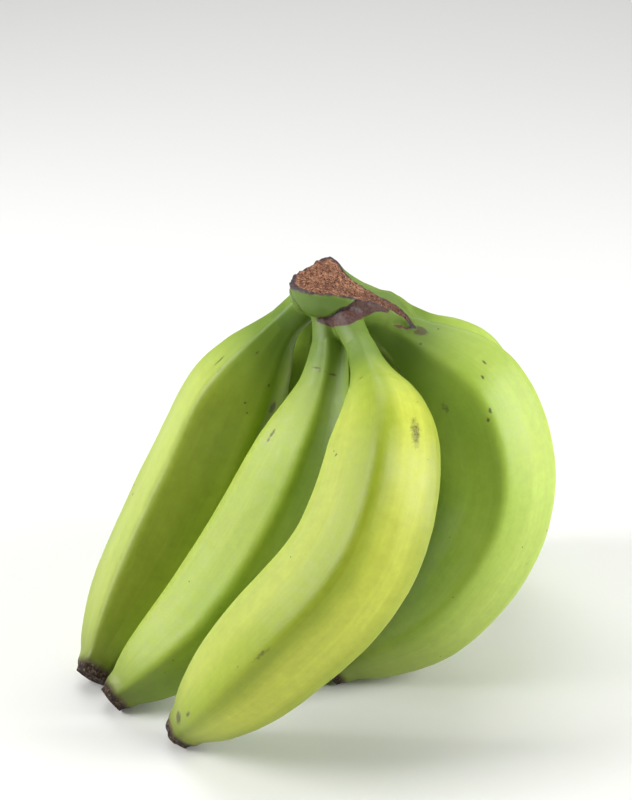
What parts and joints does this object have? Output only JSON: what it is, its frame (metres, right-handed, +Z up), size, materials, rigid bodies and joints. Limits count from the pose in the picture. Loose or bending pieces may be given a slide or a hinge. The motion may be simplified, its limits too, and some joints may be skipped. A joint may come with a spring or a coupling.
{
  "type": "banana hand",
  "caption": "Hand of green bananas grown from one cut crown, standing on their tips and bellies with the crown up.",
  "frame": {"origin": "on the table, under the middle of the hand's bounding box", "axes": "+Z up through the crown; +X towards the hand's right, the side of the widest-bowed finger; the front, where two long fingers lean forward, faces -Y"},
  "size_m": [0.1568, 0.1572, 0.1295],
  "materials": {
    "skin": "waxy green skin",
    "crown": "cut and dried, fibrous"
  },
  "bodies": {
    "root": {"crown": "crown", "finger_left": "skin", "finger_front_left": "skin", "finger_front": "skin", "finger_right": "skin", "finger_back_right": "skin", "finger_inner_right": "skin", "finger_inner_left": "skin"}
  },
  "joints": []
}
